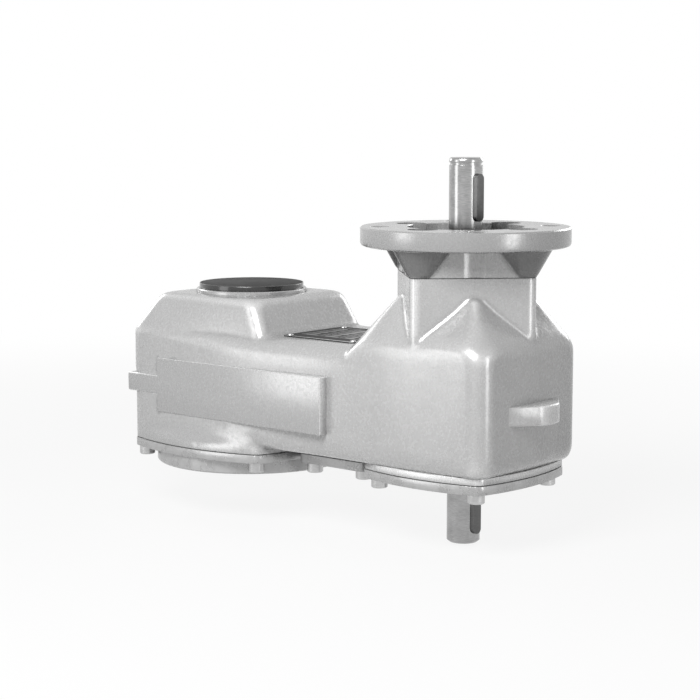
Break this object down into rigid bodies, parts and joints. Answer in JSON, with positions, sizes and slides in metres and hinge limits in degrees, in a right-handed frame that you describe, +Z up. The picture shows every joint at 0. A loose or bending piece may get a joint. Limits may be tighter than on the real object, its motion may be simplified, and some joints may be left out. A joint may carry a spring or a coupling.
{
  "type": "spur gearbox",
  "caption": "Cast spur gearbox with an offset keyed input shaft in a raised flange and a hollow output sleeve behind a bolted base flange.",
  "frame": {"origin": "centre of the output flange's face, on the output axis", "axes": "+X from the output axis to the input axis, +Z up along both axes, towards the input flange"},
  "size_m": [0.3025, 0.129, 0.2309],
  "materials": {
    "cast": "sand cast and painted silver grey, satin",
    "machined": "turned and milled, satin",
    "steel": "ground and turned",
    "dark_steel": "blackened",
    "gasket": "matt sheet",
    "seal": "moulded, satin",
    "cap": "glossy black",
    "plate": "black face with raised bright marks",
    "bronze": "sintered bronze"
  },
  "bodies": {
    "case": {"housing": "cast", "output_base_plate": "machined", "input_base_plate": "machined", "idler_cover": "machined", "input_flange": "cast", "output_gasket": "gasket", "input_gasket": "gasket", "cover_gasket": "gasket", "flange_gasket": "gasket", "output_plate_screws": "steel", "input_plate_screws": "steel", "cover_screws": "steel", "flange_screws": "steel", "stem_cap": "cap", "cap_seal_ring": "seal", "nameplate": "plate", "nameplate_rivets": "steel", "bearing_output_low_outer": "steel", "bearing_output_high_outer": "steel", "output_seal": "seal", "idler_one_pin": "steel", "idler_one_washers": "steel", "idler_two_pin": "steel", "idler_two_washers": "steel", "bearing_input_low_outer": "steel", "bearing_input_high_outer": "steel", "input_seals": "seal", "neck_ring": "dark_steel"},
    "output_drive": {"output_sleeve": "steel", "output_wheel": "steel", "output_wheel_key": "dark_steel", "output_wheel_ring": "dark_steel", "drive_bush": "machined", "bearing_output_low_inner": "steel", "bearing_output_high_inner": "steel"},
    "idler_one_gear": {"idler_one": "steel", "idler_one_bush": "bronze"},
    "idler_two_gear": {"idler_two": "steel", "idler_two_bush": "bronze"},
    "input_drive": {"input_shaft": "steel", "top_key": "dark_steel", "bottom_key": "dark_steel", "input_spacers": "machined", "input_shaft_rings": "dark_steel", "bearing_input_low_inner": "steel", "bearing_input_high_inner": "steel"}
  },
  "joints": [
    {"name": "output_spin", "type": "hinge", "parent": "case", "child": "output_drive", "pos_m": [0, 0, 0.05], "axis": [0, 0, 1], "continuous": true},
    {"name": "idler_one_spin", "type": "hinge", "parent": "case", "child": "idler_one_gear", "pos_m": [0.081, 0, 0.05], "axis": [0, 0, 1], "continuous": true},
    {"name": "idler_two_spin", "type": "hinge", "parent": "case", "child": "idler_two_gear", "pos_m": [0.138, 0, 0.05], "axis": [0, 0, 1], "continuous": true},
    {"name": "input_spin", "type": "hinge", "parent": "case", "child": "input_drive", "pos_m": [0.174, 0, 0.05], "axis": [0, 0, 1], "continuous": true}
  ],
  "couplings": [
    {"joint": "idler_one_spin", "follows": "output_spin", "ratio": -1.25},
    {"joint": "idler_two_spin", "follows": "output_spin", "ratio": 2.1429},
    {"joint": "input_spin", "follows": "output_spin", "ratio": -3}
  ]
}
